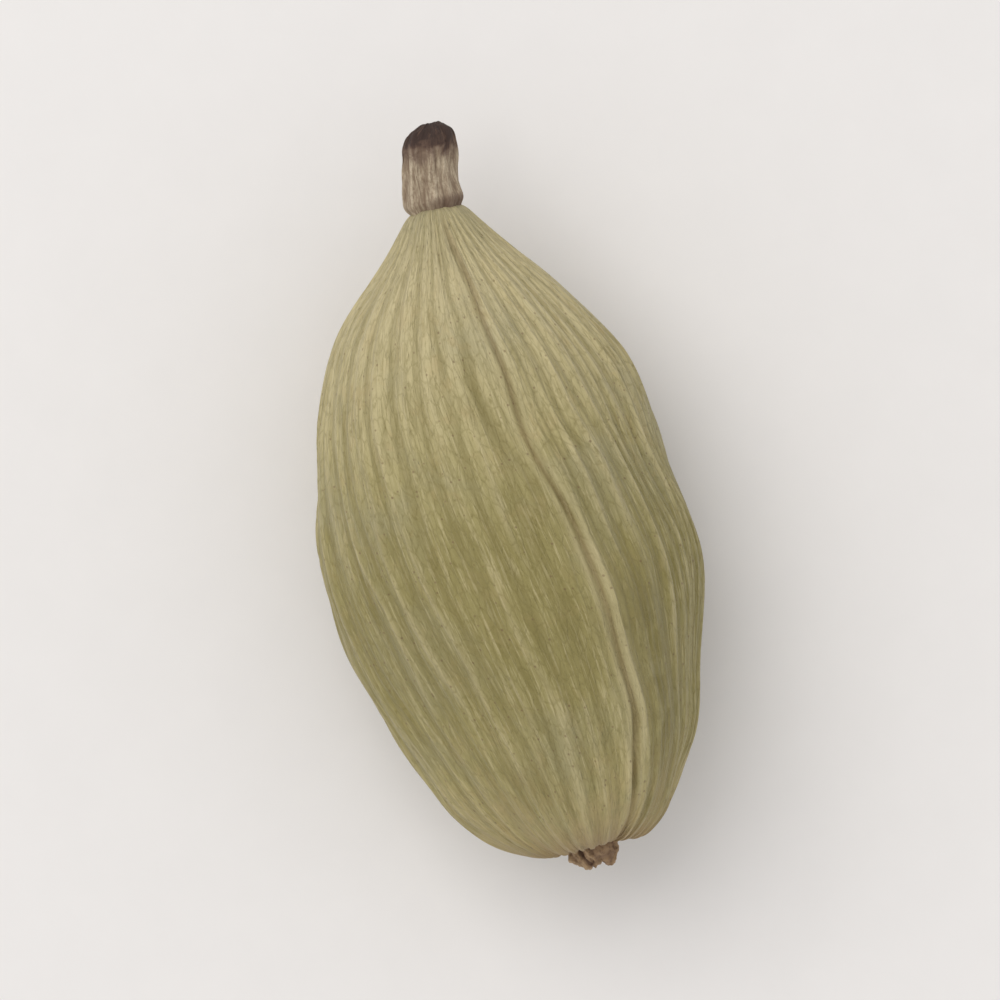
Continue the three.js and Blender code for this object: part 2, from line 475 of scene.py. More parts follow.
wandering = CREASE_WANDER * np.sin(along * 1.7)
to_crease = (turn - CREASE_TURN - wandering) * np.radians(1) * radius
crease = hump(to_crease, CREASE_WIDTH) * stretch_of_pod(3.4, 4.6, 6.2, 7.4)
emboss(capsule, "crease", -CREASE_DEPTH * crease)

# %% [markdown]
# The ribs are bundles of fibres under the dried skin. Each valve has about a dozen, and they crowd together
# towards both ends. A plain wave would look like corduroy, so every rib has a sharp crest, wanders a little,
# has its own strength and fades in places, and thinner ribs run between the strong ones.

# %% Raise the ribs
RIBS_PER_VALVE = 12
RIB_HEIGHT = 0.1
RIB_SHARPNESS = 1.8
MEAN_CREST = 0.22
THIN_RIB_HEIGHT = 0.04
THIN_RIB_SHARPNESS = 1.5
MEAN_THIN_CREST = 0.2
MEAN_WANDER = 0.65


def tent(phase):
    """Rises and falls in straight lines, once for each whole step of the phase, between 0 and 1."""
    return 1 - np.abs(2 * (phase % 1) - 1)


wander = 0.5 * dapple(24, 5, seed=21) + 0.5 * dapple(9, 3, seed=22) + 0.3 * dapple(48, 13, seed=26)
clear_of_seam = np.clip(5 * np.minimum(across, 1 - across), 0, 1)
rib_phase = across * RIBS_PER_VALVE + (wander - MEAN_WANDER) * clear_of_seam
rib_strength = 0.2 + 0.8 * dapple(36, 6, seed=23)
crest = tent(rib_phase) ** RIB_SHARPNESS * rib_strength
thinning = np.sqrt(np.clip(radius, 0.3, None) / WIDEST) * rise(radius, 0.35, 0.8)
emboss(capsule, "ribs", RIB_HEIGHT * (crest - MEAN_CREST) * thinning)

thin_phase = 3 * rib_phase + dapple(20, 6, seed=25)
thin_crest = tent(thin_phase) ** THIN_RIB_SHARPNESS * dapple(60, 12, seed=24)
emboss(capsule, "thin ribs", THIN_RIB_HEIGHT * (thin_crest - MEAN_THIN_CREST) * thinning)

# %% [markdown]
# A seam is where a ripe pod would split. On a dried green pod it is no more than a fine line between two low
# lips, broken here and there, and it deepens a little where the three seams run into the hollow at the tip.

# %% Cut the seams
SEAM_DEPTH = 0.055
SEAM_TIP_DEPTH = 0.085
SEAM_WIDTH = 0.045
SEAM_WANDER = 0.16
LIP_DISTANCE = 0.11
LIP_WIDTH = 0.06
LIP_HEIGHT = 0.02

to_seam = np.abs(past_seam + SEAM_WANDER * (dapple(3, 9, seed=42) - 0.5))
seam_strength = 0.3 + 0.7 * dapple(7, 18, seed=41)
seam_depth = SEAM_DEPTH + (SEAM_TIP_DEPTH - SEAM_DEPTH) * rise(along, 10.8, 12.4)
groove = hump(to_seam, SEAM_WIDTH) * rise(radius, 0.4, 0.9)
lips = hump(to_seam - LIP_DISTANCE, LIP_WIDTH) * rise(radius, 0.5, 1.4) * seam_strength
emboss(capsule, "seams", LIP_HEIGHT * lips - seam_depth * seam_strength * groove)

# %% [markdown]
# Last come the fine fibres and the wrinkles that cross them. They are only a few hundredths of a millimetre
# high, yet they are what tells dried skin from plastic. A wrinkle is a thin line, so it is drawn where soft
# patches pass through their middle value, as a coastline is drawn where the land passes through sea level.

# %% Fine fibres and wrinkles
FIBRE_HEIGHT = 0.036
WRINKLE_DEPTH = 0.022
WRINKLE_THINNESS = 9

fibres = 0.55 * dapple(150, 9, seed=31) + 0.45 * dapple(230, 16, seed=32)
coast = dapple(40, 22, seed=33)
wrinkled = rise(dapple(18, 8, seed=34), 0.3, 0.8)
wrinkles = np.clip(1 - WRINKLE_THINNESS * np.abs(coast - 0.5), 0, 1) * wrinkled
emboss(capsule, "fibres", (FIBRE_HEIGHT * (fibres - 0.5) - WRINKLE_DEPTH * wrinkles) * thinning)

# %% [markdown]
# The finish will want to know some of this too, such as where a rib's crest or a seam runs. So those lists
# are noted on the mesh as attributes, one number for each point. Two more are for colour alone: a paler
# stripe along the seam that faces the eye, and painted shade on the flank beside it and on a patch near the
# tip.

# %% Note the map on the mesh
def note(piece, name, values):
    """Stores a number for each point under a name that the material can ask for."""
    layer = piece.data.attributes.new(name, "FLOAT", "POINT")
    layer.data.foreach_set("value", np.asarray(values, dtype=np.float32))


past_first_seam = short_way(turn) * np.radians(1) * radius
# a paler stripe just beside the seam that faces the eye
pale_seam_stripe = hump(past_first_seam + 0.1, 0.26) * stretch_of_pod(6.4, 8.6, 10.0, 11.4)
# painted shade: darker on the flank beyond the seam that faces the eye, and on a patch near the tip
painted_shade = hump(past_first_seam + 0.75, 0.5) * stretch_of_pod(7.0, 9.4, 12.0, 12.5)
tip_shade_patch = round_area(at=11.5, towards=112, reach=0.5, breadth=15)

note(capsule, "crest", crest)
note(capsule, "groove", groove)
note(capsule, "lips", lips)
note(capsule, "crease", crease)
note(capsule, "along", along)
note(capsule, "radius", radius)
note(capsule, "pale_seam_stripe", pale_seam_stripe)
note(capsule, "painted_shade", painted_shade + 0.9 * tip_shade_patch)
note(capsule, "round_x", np.cos(np.radians(turn)))
note(capsule, "round_y", np.sin(np.radians(turn)))
noted = [layer.name for layer in capsule.data.attributes if layer.data_type == "FLOAT"]
print("noted on the capsule:", noted)

# %% [markdown]
# A pod lies still because it has found a small flat spot to lie on. One cut through the mesh just where it
# meets the table makes the spot, and the cut is filled so that the capsule stays closed.

# %% Cut the flat spot that it rests on
ON_THE_CUT = 0.0001  # a point that is nearer the table than this, in millimetres, counts as on it


def shade(piece, smooth_below):
    """Shades faces as one smooth skin where they meet at less than this many degrees."""
    hold(piece)
    bpy.ops.object.shade_smooth_by_angle(angle=math.radians(smooth_below))


open_up(capsule)
bpy.ops.mesh.select_all(action="SELECT")
bpy.ops.mesh.bisect(
    plane_co=(0, 0, 0), plane_no=(0, 0, 1), use_fill=True, clear_inner=True, threshold=ON_THE_CUT * MM
)
close_up()
shade(capsule, smooth_below=45)
print("points on the flat spot:", int((np.abs(places(capsule)[:, 2]) < ON_THE_CUT * MM).sum()))

# %% [markdown]
# The finer piece has to keep the form of the solid that it will stand for. A measure of that is how far its
# points lie from the solid's nearest face, so each piece is compared with its solid once it is shaped.

# %% Compare it with its solid
def compare(piece, name):
    """Prints how far a new piece strays from the solid that it stands for."""
    solid = BVHTree.FromObject(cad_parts[name], bpy.context.evaluated_depsgraph_get())
    gaps = [solid.find_nearest(Vector(spot))[3] / MM for spot in places(piece)[::7]]
    mean_gap = round(float(np.mean(gaps)), 3)
    print(piece.name, "strays", mean_gap, "mm on average and", round(max(gaps), 3), "at most")
    print("its box is", in_mm(places(piece).min(axis=0)), "to", in_mm(places(piece).max(axis=0)))


compare(capsule, "capsule")

# %% [markdown]
# The stub of the stalk is woody. It broke off the cluster, so it ends in a rounded, ragged stump with a dark
# heart. Below that it is bare and beige, and a thin raised ring marks where it joins the neck. A cylinder is
# the start: its end faces are drawn out ring by ring with extrude and resize, as any turned shape can be.

# %% Helpers that draw out an end
END_DEPTH = 0.004  # the points of an end face lie within this many millimetres of its farthest point


def lathe_start(along, end_along, radius, lines):
    """A cylinder on the axis, between two distances along the pod."""
    middle = (along + end_along) / 2
    bpy.ops.object.select_all(action="DESELECT")
    bpy.ops.mesh.primitive_cylinder_add(
        vertices=lines,
        radius=radius * MM,
        depth=(end_along - along) * MM,
        location=on_axis(middle),
        rotation=(0, math.pi / 2, 0),
    )
    bpy.ops.object.transform_apply(location=True, rotation=True, scale=True)
    return bpy.context.object


def end_points(piece, towards):
    """The numbers of the points at one end, towards 1 for the tip's end or -1 for the stalk's."""
    mesh = bmesh.from_edit_mesh(piece.data)
    reach = max(towards * point.co.x for point in mesh.verts)
    return [point.index for point in mesh.verts if towards * point.co.x > reach - END_DEPTH * MM]


def draw_out(piece, towards, steps):
    """Extrudes an end face from ring to ring. A step is the distance along and the radius there."""
    pick(piece, end_points(piece, towards))
    mesh = bmesh.from_edit_mesh(piece.data)
    ring = [point.co for point in mesh.verts if point.select]
    here = sum(ring, Vector()) / len(ring)
    size = (ring[0] - here).length
    for along, radius in steps:
        there = Vector(on_axis(along))
        bpy.ops.mesh.extrude_region_move(TRANSFORM_OT_translate={"value": there - here})
        resize = radius * MM / size
        bpy.ops.transform.resize(value=(1, resize, resize), center_override=there)
        here = there
        size = radius * MM


print("the neck is at", in_mm(on_axis(CAPSULE_OUTLINE[0][0])), "mm")

# %% [markdown]
# Each pair below gives how far along the pod a ring lies, and its radius, in millimetres. The stub starts as
# a short band. It is drawn out to the neck first, over the raised ring, and then out to the broken end.

# %% Draw out the stalk
STALK_LINES = 36

stalk = lathe_start(along=0.36, end_along=0.5, radius=0.465, lines=STALK_LINES)
stalk.name = "pod_stalk"
open_up(stalk)
draw_out(stalk, 1, [(0.62, 0.475), (0.74, 0.465), (0.86, 0.455), (1.0, 0.455), (1.12, 0.46)])
draw_out(stalk, 1, [(1.2, 0.465), (1.28, 0.482), (1.35, 0.475), (1.44, 0.4), (1.7, 0.34)])
draw_out(stalk, -1, [(0.25, 0.44), (0.15, 0.39), (0.07, 0.315), (0.025, 0.23), (0.0, 0.15), (-0.01, 0.07)])
close_up()
smooth_out(stalk)

# %% [markdown]
# Woody fibres run along the stub, coarse ones with fine ones between, and the cut end is uneven. The same
# brush as before embosses them, after a small map of this piece is drawn up.

# %% Fibres and a ragged end for the stalk
STUB_FURROW_DEPTH = 0.04
MEAN_FURROW = 0.64
COARSE_FIBRE = 0.014
FINE_FIBRE = 0.012
LUMP_HEIGHT = 0.02
RAGGEDNESS = 0.012
MEAN_RAGGEDNESS = 0.014
SPLIT_DEPTH = 0.02

stub_along, stub_radius, stub_turn = measure_round(stalk)
on_side = rise(stub_radius, 0.25, 0.4)

coarse = np.sin(6 * stub_turn + 1.3 * np.sin(3 * stub_along))
coarse += 0.7 * np.sin(11 * stub_turn + 2 + 2 * stub_along)
fine = np.sin(26 * stub_turn + 3 * np.sin(3.4 * stub_along))
fine *= np.sin(5 * stub_along + 2 * np.sin(4 * stub_turn))
lumpy = np.sin(3 * stub_turn + 4 * stub_along) + 0.8 * np.sin(2 * stub_turn - 5 * stub_along + 1)
furrow = np.abs(np.sin(4 * stub_turn + 0.7 * np.sin(2.6 * stub_along + 1)))
emboss(stalk, "furrows", STUB_FURROW_DEPTH * (MEAN_FURROW - furrow) * on_side)
emboss(stalk, "fibres", (COARSE_FIBRE * coarse + FINE_FIBRE * fine + LUMP_HEIGHT * lumpy) * on_side)

ragged = np.sin(4 * stub_turn + 1) + 0.7 * np.sin(7 * stub_turn) + 0.6 * np.sin(13 * stub_turn + 2)
at_end = 1 - rise(stub_along, 0.02, 0.3)
round_edge = rise(stub_radius, 0.1, 0.35)
emboss(stalk, "ragged end", (RAGGEDNESS * ragged + MEAN_RAGGEDNESS) * at_end * round_edge, way="X")

splits = np.sin(5 * stub_turn + 9 * stub_radius) * np.sin(11 * stub_turn - 14 * stub_radius)
emboss(stalk, "splits", SPLIT_DEPTH * splits * at_end * rise(stub_radius, 0.05, 0.15), way="X")

note(stalk, "along", stub_along)
note(stalk, "fibre", 0.5 + 0.15 * coarse + 0.15 * fine - 0.25 * (furrow - MEAN_FURROW))
note(stalk, "round_x", np.cos(stub_turn))
note(stalk, "round_y", np.sin(stub_turn))
shade(stalk, smooth_below=60)
compare(stalk, "stalk_stub")

# %% [markdown]
# The flower withers and drops off, but its base stays: a crumpled brown scrap in a hollow between the three
# lobes. It is made as the stalk was, with the top left open like a torn tube. Folds of uneven depth wind
# round it, and two sizes of cloudy crumples break up whatever still looks turned on a lathe.

# %% Draw out the flower remnant
REMNANT_LINES = 30

remnant = lathe_start(along=12.2, end_along=12.4, radius=0.35, lines=REMNANT_LINES)
remnant.name = "pod_flower_remnant"
open_up(remnant)
draw_out(remnant, 1, [(12.5, 0.41), (12.62, 0.42), (12.74, 0.38), (12.84, 0.33), (12.92, 0.27)])
draw_out(remnant, 1, [(12.95, 0.21), (12.9, 0.16), (12.8, 0.13), (12.72, 0.09)])
draw_out(remnant, -1, [(12.1, 0.25), (12.06, 0.1)])
close_up()
smooth_out(remnant)
tuft_along, tuft_radius, tuft_turn = measure_round(remnant)

# %% [markdown]
# The folds are a wave round the piece. Bending the wave's own angle makes them uneven, and letting that
# angle grow along the pod makes them wind. Clouds, a texture in the Displace modifier, do the crumpling.

# %% Fold and crumple it
FOLDS = 7
FOLD_DEPTH = 0.045
FOLD_WINDING = 0.9
TEAR_DEPTH = 0.04
MEAN_TEAR = 0.05

winding = tuft_turn + 0.3 * np.sin(2 * tuft_turn + 1) + 0.2 * np.sin(3 * tuft_turn)
winding += FOLD_WINDING * (tuft_along - 12.32)
fold = np.cos(FOLDS * winding) * (0.7 + 0.5 * np.cos(2 * tuft_turn + 1)) + 0.35 * np.cos(17 * winding + 2)
out_of_hollow = rise(tuft_along, 12.3, 12.6) * rise(tuft_radius, 0.1, 0.3)
emboss(remnant, "folds", FOLD_DEPTH * fold * out_of_hollow)

torn = np.sin(3 * tuft_turn + 0.5) + 0.8 * np.sin(8 * tuft_turn + 2) + 0.6 * np.sin(13 * tuft_turn)
near_rim = rise(tuft_along, 12.7, 12.9) * rise(tuft_radius, 0.1, 0.2)
emboss(remnant, "torn rim", (TEAR_DEPTH * torn - MEAN_TEAR) * near_rim, way="X")

for name, size, strength in (("crumple", 0.17, 0.1), ("crackle", 0.05, 0.04)):
    cloud = bpy.data.textures.new(name, "CLOUDS")
    cloud.noise_scale = size * MM
    cloud.noise_depth = 2
    crumpling = {"texture": cloud, "texture_coords": "LOCAL", "mid_level": 0.5, "strength": strength * MM}
    finish_with(remnant, "DISPLACE", **crumpling)

note(remnant, "fold", 0.5 + 0.35 * fold)
shade(remnant, smooth_below=60)
compare(remnant, "flower_remnant")

# %% [markdown]
# Now the finishes. Blender mixes amounts of light, while colours are usually read off a screen, so one
# helper turns screen colours into light. The others start a finish, add a node to it and read a number that
# was noted on the mesh.

# %% Helpers for paints and nodes
def paint(red, green, blue):
    """A colour read off a screen, from 0 to 255, as the light that Blender mixes."""
    levels = [level / 255 for level in (red, green, blue)]
    light = [level / 12.92 if level < 0.04045 else ((level + 0.055) / 1.055) ** 2.4 for level in levels]
    return (*light, 1)


def new_finish(name):
    """Starts a finish with a plain shader in it."""
    finish = bpy.data.materials.new(name)
    finish.use_nodes = True
    return finish


def plug(finish, socket, value):
    """Joins another node's output to a socket, or sets the socket to a plain value."""
    if isinstance(value, bpy.types.NodeSocket):
        finish.node_tree.links.new(value, socket)
    else:
        socket.default_value = value


def add(finish, kind, settings=(), **inputs):
    """Adds a node. An input is either a plain value or another node's output."""
    made = finish.node_tree.nodes.new(kind)
    for name, value in dict(settings).items():
        setattr(made, name, value)
    for name, value in inputs.items():
        plug(finish, made.inputs[name.replace("_", " ")], value)
    return made


def read(finish, name):
    """The number that was noted for each point under this name."""
    return add(finish, "ShaderNodeAttribute", {"attribute_name": name}).outputs["Fac"]


print("straw yellow as light:", [round(part, 3) for part in paint(176, 156, 108)])

# %% [markdown]
# The next helpers stretch a value between two limits, multiply two values and lay one colour over another,
# so that each finish below reads like a list of coats of paint. The Mix node keeps its inputs for numbers,
# vectors and colours side by side, so the ones for colours are picked by their number.

# %% Helpers for coats
MIX_SHARE = 0
MIX_UNDER = 6
MIX_OVER = 7
MIX_RESULT = 2


def between(finish, value, low, high):
    """Stretches a value so that low becomes 0 and high becomes 1, smoothly."""
    smooth = {"interpolation_type": "SMOOTHSTEP"}
    made = add(finish, "ShaderNodeMapRange", smooth, Value=value, From_Min=low, From_Max=high)
    return made.outputs["Result"]


def times(finish, first, second):
    """Multiplies two values."""
    made = add(finish, "ShaderNodeMath", {"operation": "MULTIPLY"})
    plug(finish, made.inputs[0], first)
    plug(finish, made.inputs[1], second)
    return made.outputs[0]


def coat(finish, under, over, where, thickness=1):
    """Lays one colour over another, at the places and as thickly as the last two say."""
    mix = add(finish, "ShaderNodeMix", {"data_type": "RGBA"})
    plug(finish, mix.inputs[MIX_SHARE], where if thickness == 1 else times(finish, where, thickness))
    plug(finish, mix.inputs[MIX_UNDER], under)
    plug(finish, mix.inputs[MIX_OVER], over)
    return mix.outputs[MIX_RESULT]


print("a coat needs inputs", MIX_SHARE, MIX_UNDER, "and", MIX_OVER, "of the Mix node")

# %% [markdown]
# Grain is noise. It is read at a place on the surface, which is made of the numbers noted there, so that it
# follows the piece. Squeezing the length along the pod draws the noise out into fibres.

# %% Helpers for grain and bumps
def grain(finish, where, scale, detail=4, roughness=0.6, distortion=0.0):
    """Cloudy noise. Where it is stretched, it becomes fibres."""
    made = add(
        finish,
        "ShaderNodeTexNoise",
        Vector=where,
        Scale=scale,
        Detail=detail,
        Roughness=roughness,
        Distortion=distortion,
    )
    return made.outputs["Fac"]


def on_surface(finish, squeeze):
    """A place on the surface for noise. The length along the pod is squeezed, so the noise is drawn out."""
    length = times(finish, read(finish, "along"), squeeze)
    side = read(finish, "round_x")
    top = read(finish, "round_y")
    return add(finish, "ShaderNodeCombineXYZ", X=length, Y=side, Z=top).outputs["Vector"]


def pile_bumps(finish, *layers):
    """Adds bumps up. A layer is its pattern, its strength and its depth in millimetres."""
    normal = None
    for pattern, strength, depth in layers:
        bump = add(finish, "ShaderNodeBump", Height=pattern, Strength=strength, Distance=depth * MM)
        if normal is not None:
            plug(finish, bump.inputs["Normal"], normal)
        normal = bump.outputs["Normal"]
    return normal


def dress(piece, finish):
    """Gives a piece its finish."""
    piece.data.materials.clear()
    piece.data.materials.append(finish)
    print(finish.name, "has", len(finish.node_tree.nodes), "nodes")


print("a bump 0.03 mm deep is", 0.03 * MM, "to Blender, which counts in metres")

# %% [markdown]
# The capsule wall is thin, dry and fibrous. It is olive green where it is fresh, greyer and paler where it
# has been rubbed, and brownish round the tip. The ribs' crests are bleached, partly as a painted highlight,
# and the lines between them are darker, partly with painted shade. The fibres are noise stretched along the
# pod: it reads the place along the pod slowly and the place round it quickly, from the numbers noted on the
# skin, so the streaks run with the ribs and close up round.
# With a squeeze of a third, spots come out about as long as they are wide.

# %% Grain of the capsule wall
wall = new_finish("dried_capsule_wall")
skin = wall.node_tree.nodes["Principled BSDF"]

long_fibres = grain(wall, on_surface(wall, squeeze=0.05), scale=26, detail=5, roughness=0.65)
thread_fibres = grain(wall, on_surface(wall, squeeze=0.02), scale=62, detail=4, roughness=0.7)
short_fibres = grain(wall, on_surface(wall, squeeze=0.16), scale=40, detail=3)
evenly = on_surface(wall, squeeze=0.33)
patches = grain(wall, evenly, scale=1.7, detail=3, roughness=0.55, distortion=0.4)
mottle = grain(wall, evenly, scale=6.5, detail=4, roughness=0.65, distortion=0.6)

cells = "ShaderNodeTexVoronoi"
edges_only = {"feature": "DISTANCE_TO_EDGE"}
drawn_out = on_surface(wall, squeeze=0.1)
dots = add(wall, cells, Vector=evenly, Scale=15).outputs["Distance"]
net = add(wall, cells, edges_only, Vector=drawn_out, Scale=30).outputs["Distance"]
print("patterns on the wall:", sum(node.type.startswith("TEX") for node in wall.node_tree.nodes))

# %% [markdown]
# The colour is built up as on a model that is painted by hand: a ground, then thin coats of other colours.
# Each coat has a place where it goes, such as in the streaks, on the crests or round the tip, and a
# thickness. These are the paints. They are the colours of dried green pods, from fresh olive to straw.

# %% Paints for the wall
FRESH = paint(164, 153, 102)
DEEP = paint(117, 106, 55)
OLIVE = paint(119, 109, 50)
BLEACHED = paint(196, 183, 140)
GREY_GREEN = paint(158, 151, 118)
STRAW = paint(176, 156, 108)
TAN = paint(158, 131, 92)
BROWN = paint(108, 82, 54)
print("the ground is", [round(part, 3) for part in FRESH[:3]])

# %% [markdown]
# First the ground, which is paler at the neck, and what the skin shows all over: dark streaks, grey and
# straw-coloured patches, olive in the middle of the pod, and pale threads.

# %% The ground and its streaks
distance_along = read(wall, "along")
below_neck = between(wall, distance_along, 2.2, 7.0)
belly = times(wall, between(wall, distance_along, 4.8, 7.8), between(wall, distance_along, 12.0, 9.4))

colour = coat(wall, BLEACHED, FRESH, below_neck)
colour = coat(wall, colour, DEEP, between(wall, long_fibres, 0.42, 0.66), 0.5)
colour = coat(wall, colour, GREY_GREEN, between(wall, patches, 0.45, 0.65), 0.5)
colour = coat(wall, colour, STRAW, between(wall, mottle, 0.5, 0.72), 0.45)
colour = coat(wall, colour, OLIVE, belly, 0.52)
colour = coat(wall, colour, BLEACHED, between(wall, thread_fibres, 0.5, 0.66), 0.45)
print("coats so far:", sum(node.type == "MIX" for node in wall.node_tree.nodes))

# %% [markdown]
# Then what follows the relief: bleached crests, partly a painted highlight, dark lines between them, partly
# painted shade, the papery net, the neck rubbed pale, a paler stripe along the seam that faces the eye,
# painted shade on the flank beside it and near the tip, the seams with their lips, painted shade in the
# crease, the brownish tip and the tiny dots.

# %% Coats that follow the relief
crest_height = read(wall, "crest")
neck = between(wall, distance_along, 5.0, 1.8)
shade_mask = times(wall, read(wall, "painted_shade"), between(wall, mottle, 0.25, 0.6))
tip = times(wall, between(wall, distance_along, 10.6, 12.7), between(wall, mottle, 0.3, 0.6))
near_hollow = between(wall, read(wall, "radius"), 1.7, 0.6)
rim = times(wall, between(wall, distance_along, 11.7, 12.5), near_hollow)

# crests bleached pale: partly the ribs' own paler colour, partly a painted highlight
colour = coat(wall, colour, BLEACHED, between(wall, crest_height, 0.25, 0.85), 0.4)
# darker between the ribs: partly their own colour, partly painted shade in the grooves
colour = coat(wall, colour, DEEP, between(wall, crest_height, 0.12, 0.0), 0.35)
colour = coat(wall, colour, DEEP, between(wall, short_fibres, 0.54, 0.75), 0.5)
colour = coat(wall, colour, DEEP, between(wall, net, 0.09, 0.0), 0.3)
colour = coat(wall, colour, BLEACHED, neck, 0.28)
# the paler stripe beside the seam that faces the eye
colour = coat(wall, colour, BLEACHED, read(wall, "pale_seam_stripe"), 0.28)
# painted shade on that flank and on the patch near the tip
colour = coat(wall, colour, DEEP, shade_mask, 0.72)
colour = coat(wall, colour, BLEACHED, read(wall, "lips"), 0.45)
colour = coat(wall, colour, BROWN, read(wall, "groove"), 0.35)
# painted shade down in the crease
colour = coat(wall, colour, DEEP, read(wall, "crease"), 0.5)
colour = coat(wall, colour, STRAW, tip, 0.6)
colour = coat(wall, colour, TAN, rim, 0.85)
colour = coat(wall, colour, BROWN, between(wall, dots, 0.14, 0.07), 0.55)
plug(wall, skin.inputs["Base Color"], colour)
print("coats in all:", sum(node.type == "MIX" for node in wall.node_tree.nodes))

# %% [markdown]
# The skin has a faint, uneven gloss. What is too fine to be modelled goes into the bump: the papery net, the
# threads and the mottling. Each bump node passes its result on to the next, so that they add up.

# %% Roughness and bump for the wall
GLOSSIEST = 0.48
DULLEST = 0.76

gloss = add(wall, "ShaderNodeMapRange", Value=short_fibres, To_Min=GLOSSIEST, To_Max=DULLEST)
plug(wall, skin.inputs["Roughness"], gloss.outputs["Result"])
skin.inputs["Specular IOR Level"].default_value = 0.4
skin.inputs["Sheen Weight"].default_value = 0.08

relief = pile_bumps(
    wall,
    (between(wall, net, 0.0, 0.12), 0.4, 0.015),
    (thread_fibres, 0.65, 0.03),
    (long_fibres, 0.6, 0.04),
    (short_fibres, 0.4, 0.03),
    (mottle, 0.35, 0.05),
)
plug(wall, skin.inputs["Normal"], relief)
dress(capsule, wall)

# %% [markdown]
# The stub changes colour along its length: dark brown at the broken end, darkest in its heart, then bare
# beige wood, then a faint brown ring at the joint. Coats that read the distance along the pod do this.

# %% Grain of the stalk
UNEVENNESS = 0.8

wood = new_finish("dried_stalk_wood")
bark = wood.node_tree.nodes["Principled BSDF"]
splinters = grain(wood, on_surface(wood, 0.5), scale=6, detail=6, roughness=0.7, distortion=0.5)
strands = grain(wood, on_surface(wood, 0.3), scale=11, detail=4, roughness=0.65, distortion=0.3)
smudges = grain(wood, on_surface(wood, 2.0), scale=2.2, detail=4, distortion=0.6)
grit = grain(wood, on_surface(wood, 1.2), scale=26, detail=4, roughness=0.7)

uneven = add(wood, "ShaderNodeMath", {"operation": "MULTIPLY_ADD"})
plug(wood, uneven.inputs[0], smudges)
plug(wood, uneven.inputs[1], UNEVENNESS)
plug(wood, uneven.inputs[2], read(wood, "along"))
uneven_along = uneven.outputs[0]
print("patterns on the stalk:", sum(node.type.startswith("TEX") for node in wood.node_tree.nodes))

# %% [markdown]
# The bare wood gets its streaks first, then the brown end is laid over it, with an edge that the smudges
# make uneven, and last its dark heart and the ring at the joint, which only shows on the right.

# %% Coats and bumps for the stalk
PALE = paint(214, 199, 172)
BARE = paint(190, 173, 147)
BARE_DARK = paint(122, 100, 78)
UMBER = paint(98, 74, 60)
SAP = paint(54, 37, 30)

colour = coat(wood, BARE, BARE_DARK, between(wood, splinters, 0.38, 0.68), 0.75)
colour = coat(wood, colour, PALE, between(wood, read(wood, "fibre"), 0.55, 0.85), 0.5)
colour = coat(wood, colour, BARE_DARK, between(wood, read(wood, "fibre"), 0.45, 0.2), 0.55)
colour = coat(wood, colour, BARE_DARK, between(wood, strands, 0.5, 0.6), 0.6)
colour = coat(wood, colour, BARE_DARK, between(wood, grit, 0.5, 0.66), 0.45)
colour = coat(wood, colour, BARE_DARK, between(wood, smudges, 0.5, 0.7), 0.4)
colour = coat(wood, UMBER, colour, between(wood, uneven_along, 0.7, 1.15))
heart = times(wood, between(wood, uneven_along, 0.85, 0.6), between(wood, splinters, 0.25, 0.5))
colour = coat(wood, colour, SAP, heart, 0.9)
on_right = between(wood, read(wood, "round_x"), -0.9, 0.5)
joint_ring = times(wood, between(wood, read(wood, "along"), 1.2, 1.34), on_right)
colour = coat(wood, colour, UMBER, joint_ring, 0.7)
plug(wood, bark.inputs["Base Color"], colour)

relief = pile_bumps(wood, (splinters, 0.6, 0.05), (strands, 0.7, 0.04), (grit, 0.6, 0.03))
plug(wood, bark.inputs["Normal"], relief)
bark.inputs["Roughness"].default_value = 0.8
dress(stalk, wood)

# %% [markdown]
# The withered flower is russet brown, burnt dark down in its folds, partly as painted shade, with a lighter
# edge along the crest of each fold, partly a painted highlight.

# %% Finish for the flower remnant
withered = new_finish("withered_flower_skin")
scrap = withered.node_tree.nodes["Principled BSDF"]
where = add(withered, "ShaderNodeTexCoord").outputs["Object"]
crumbs = grain(withered, where, scale=9000, detail=6, roughness=0.7)

BURNT = paint(97, 72, 53)
RUSSET = paint(160, 131, 98)
DRY_EDGE_AND_HIGHLIGHT = paint(198, 172, 136)
# darker down in the folds: partly the scrap's own dark brown, partly painted shade
colour = coat(withered, BURNT, RUSSET, between(withered, read(withered, "fold"), 0.15, 0.6))
# paler on each fold's crest: partly a dry edge, partly a painted highlight
fold_crest = between(withered, read(withered, "fold"), 0.6, 1.0)
colour = coat(withered, colour, DRY_EDGE_AND_HIGHLIGHT, fold_crest, 0.5)
colour = coat(withered, colour, BURNT, between(withered, crumbs, 0.48, 0.68), 0.6)
plug(withered, scrap.inputs["Base Color"], colour)
plug(withered, scrap.inputs["Normal"], pile_bumps(withered, (crumbs, 0.9, 0.05)))
scrap.inputs["Roughness"].default_value = 0.85
dress(remnant, withered)

# %% [markdown]
# Each new piece now takes the place of its solid. It moves with the same body.

# %% Put the pieces in the solids' places
for piece, solid, slot in (
    (capsule, "capsule", "capsule_wall"),
    (stalk, "stalk_stub", "dried_stalk"),
    (remnant, "flower_remnant", "withered_flower"),
):
    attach(piece, "root")
    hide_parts(solid)
    print(piece.name, "stands for", solid)

# %% [markdown]
# The pod lies on a plain pale floor. The floor is large enough that its edge never shows, and it lies a
# hair below the flat spot so that the two faces don't fight for the same place.

# %% The floor
FLOOR_WIDTH = 2
HAIR = 0.01

bpy.ops.object.select_all(action="DESELECT")
bpy.ops.mesh.primitive_plane_add(size=FLOOR_WIDTH, location=(0, 0, -HAIR * MM))
floor = bpy.context.object
floor.name = "pale_floor"
bpy.ops.object.transform_apply(location=True, rotation=True, scale=True)

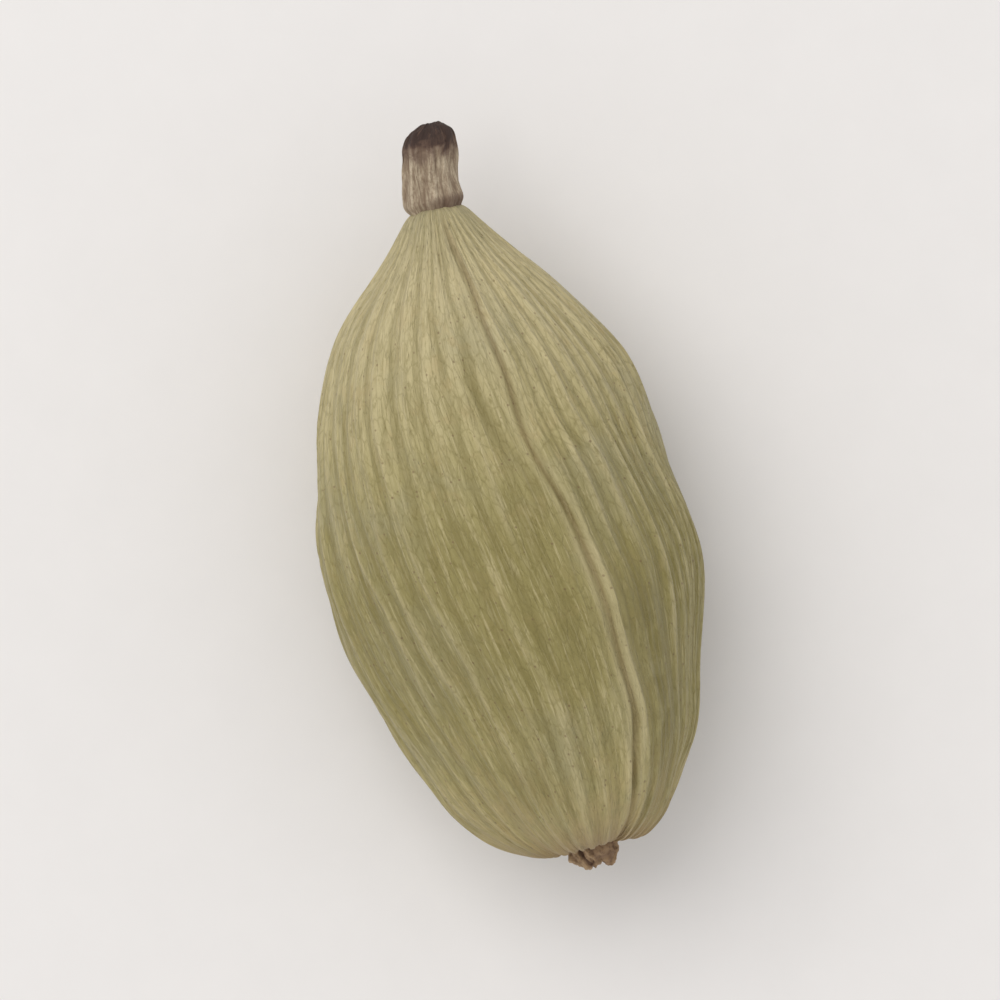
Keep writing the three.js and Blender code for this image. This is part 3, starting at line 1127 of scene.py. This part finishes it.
plain = new_finish("pale_floor_paper")
surface = plain.node_tree.nodes["Principled BSDF"]
where = add(plain, "ShaderNodeTexCoord").outputs["Object"]
tooth = grain(plain, where, scale=900, detail=3)
plug(plain, surface.inputs["Base Color"], coat(plain, paint(230, 227, 224), paint(234, 231, 228), tooth))
surface.inputs["Roughness"].default_value = 0.9
surface.inputs["Specular IOR Level"].default_value = 0.2
dress(floor, plain)
print("the floor is", floor.dimensions.x, "m across")

# %% [markdown]
# The camera looks straight down, as in the photograph, and is turned so that the stalk points up and a
# little to the left. It stands far off with a narrow view, so the small pod isn't distorted.

# %% The camera
CAMERA_HEIGHT = 0.35
CAMERA_TURN = 77.3
VIEW_WIDTH = 17 * MM

bpy.ops.object.camera_add(location=(0, 0, CAMERA_HEIGHT), rotation=(0, 0, math.radians(CAMERA_TURN)))
camera = bpy.context.object
camera.data.angle = 2 * math.atan(VIEW_WIDTH / 2 / (CAMERA_HEIGHT - AXIS_Z))
camera.data.clip_start = 0.01
camera.data.clip_end = 10
bpy.context.scene.camera = camera
print("the lens is", round(camera.data.lens), "mm")

# %% [markdown]
# The photograph was taken in very even light, with only a little more of it from the left. So an even pale
# surround does most of the work, and one broad soft lamp brings out the ribs. The colours are shown as they
# are, with no film look over them.

# %% The light
LAMP_PLACE = (-0.11, -0.08, 0.22)
LAMP_WIDTH = 0.2
LAMP_WATTS = 0.27
SURROUND_STRENGTH = 0.77

bpy.ops.object.light_add(type="AREA", location=LAMP_PLACE)
lamp = bpy.context.object
lamp.name = "soft_box"
lamp.data.size = LAMP_WIDTH
lamp.data.energy = LAMP_WATTS
lamp.data.color = (1.0, 0.985, 0.965)
lamp.rotation_euler = (-Vector(lamp.location)).to_track_quat("-Z", "Y").to_euler()

surround = bpy.data.worlds.new("pale_surround")
surround.use_nodes = True
sky = surround.node_tree.nodes["Background"]
sky.inputs["Color"].default_value = (0.985, 0.985, 1.0, 1)
sky.inputs["Strength"].default_value = SURROUND_STRENGTH
bpy.context.scene.world = surround
bpy.context.scene.view_settings.view_transform = "Standard"
print("lamp at", [round(side, 2) for side in lamp.location], "of", lamp.data.energy, "W")
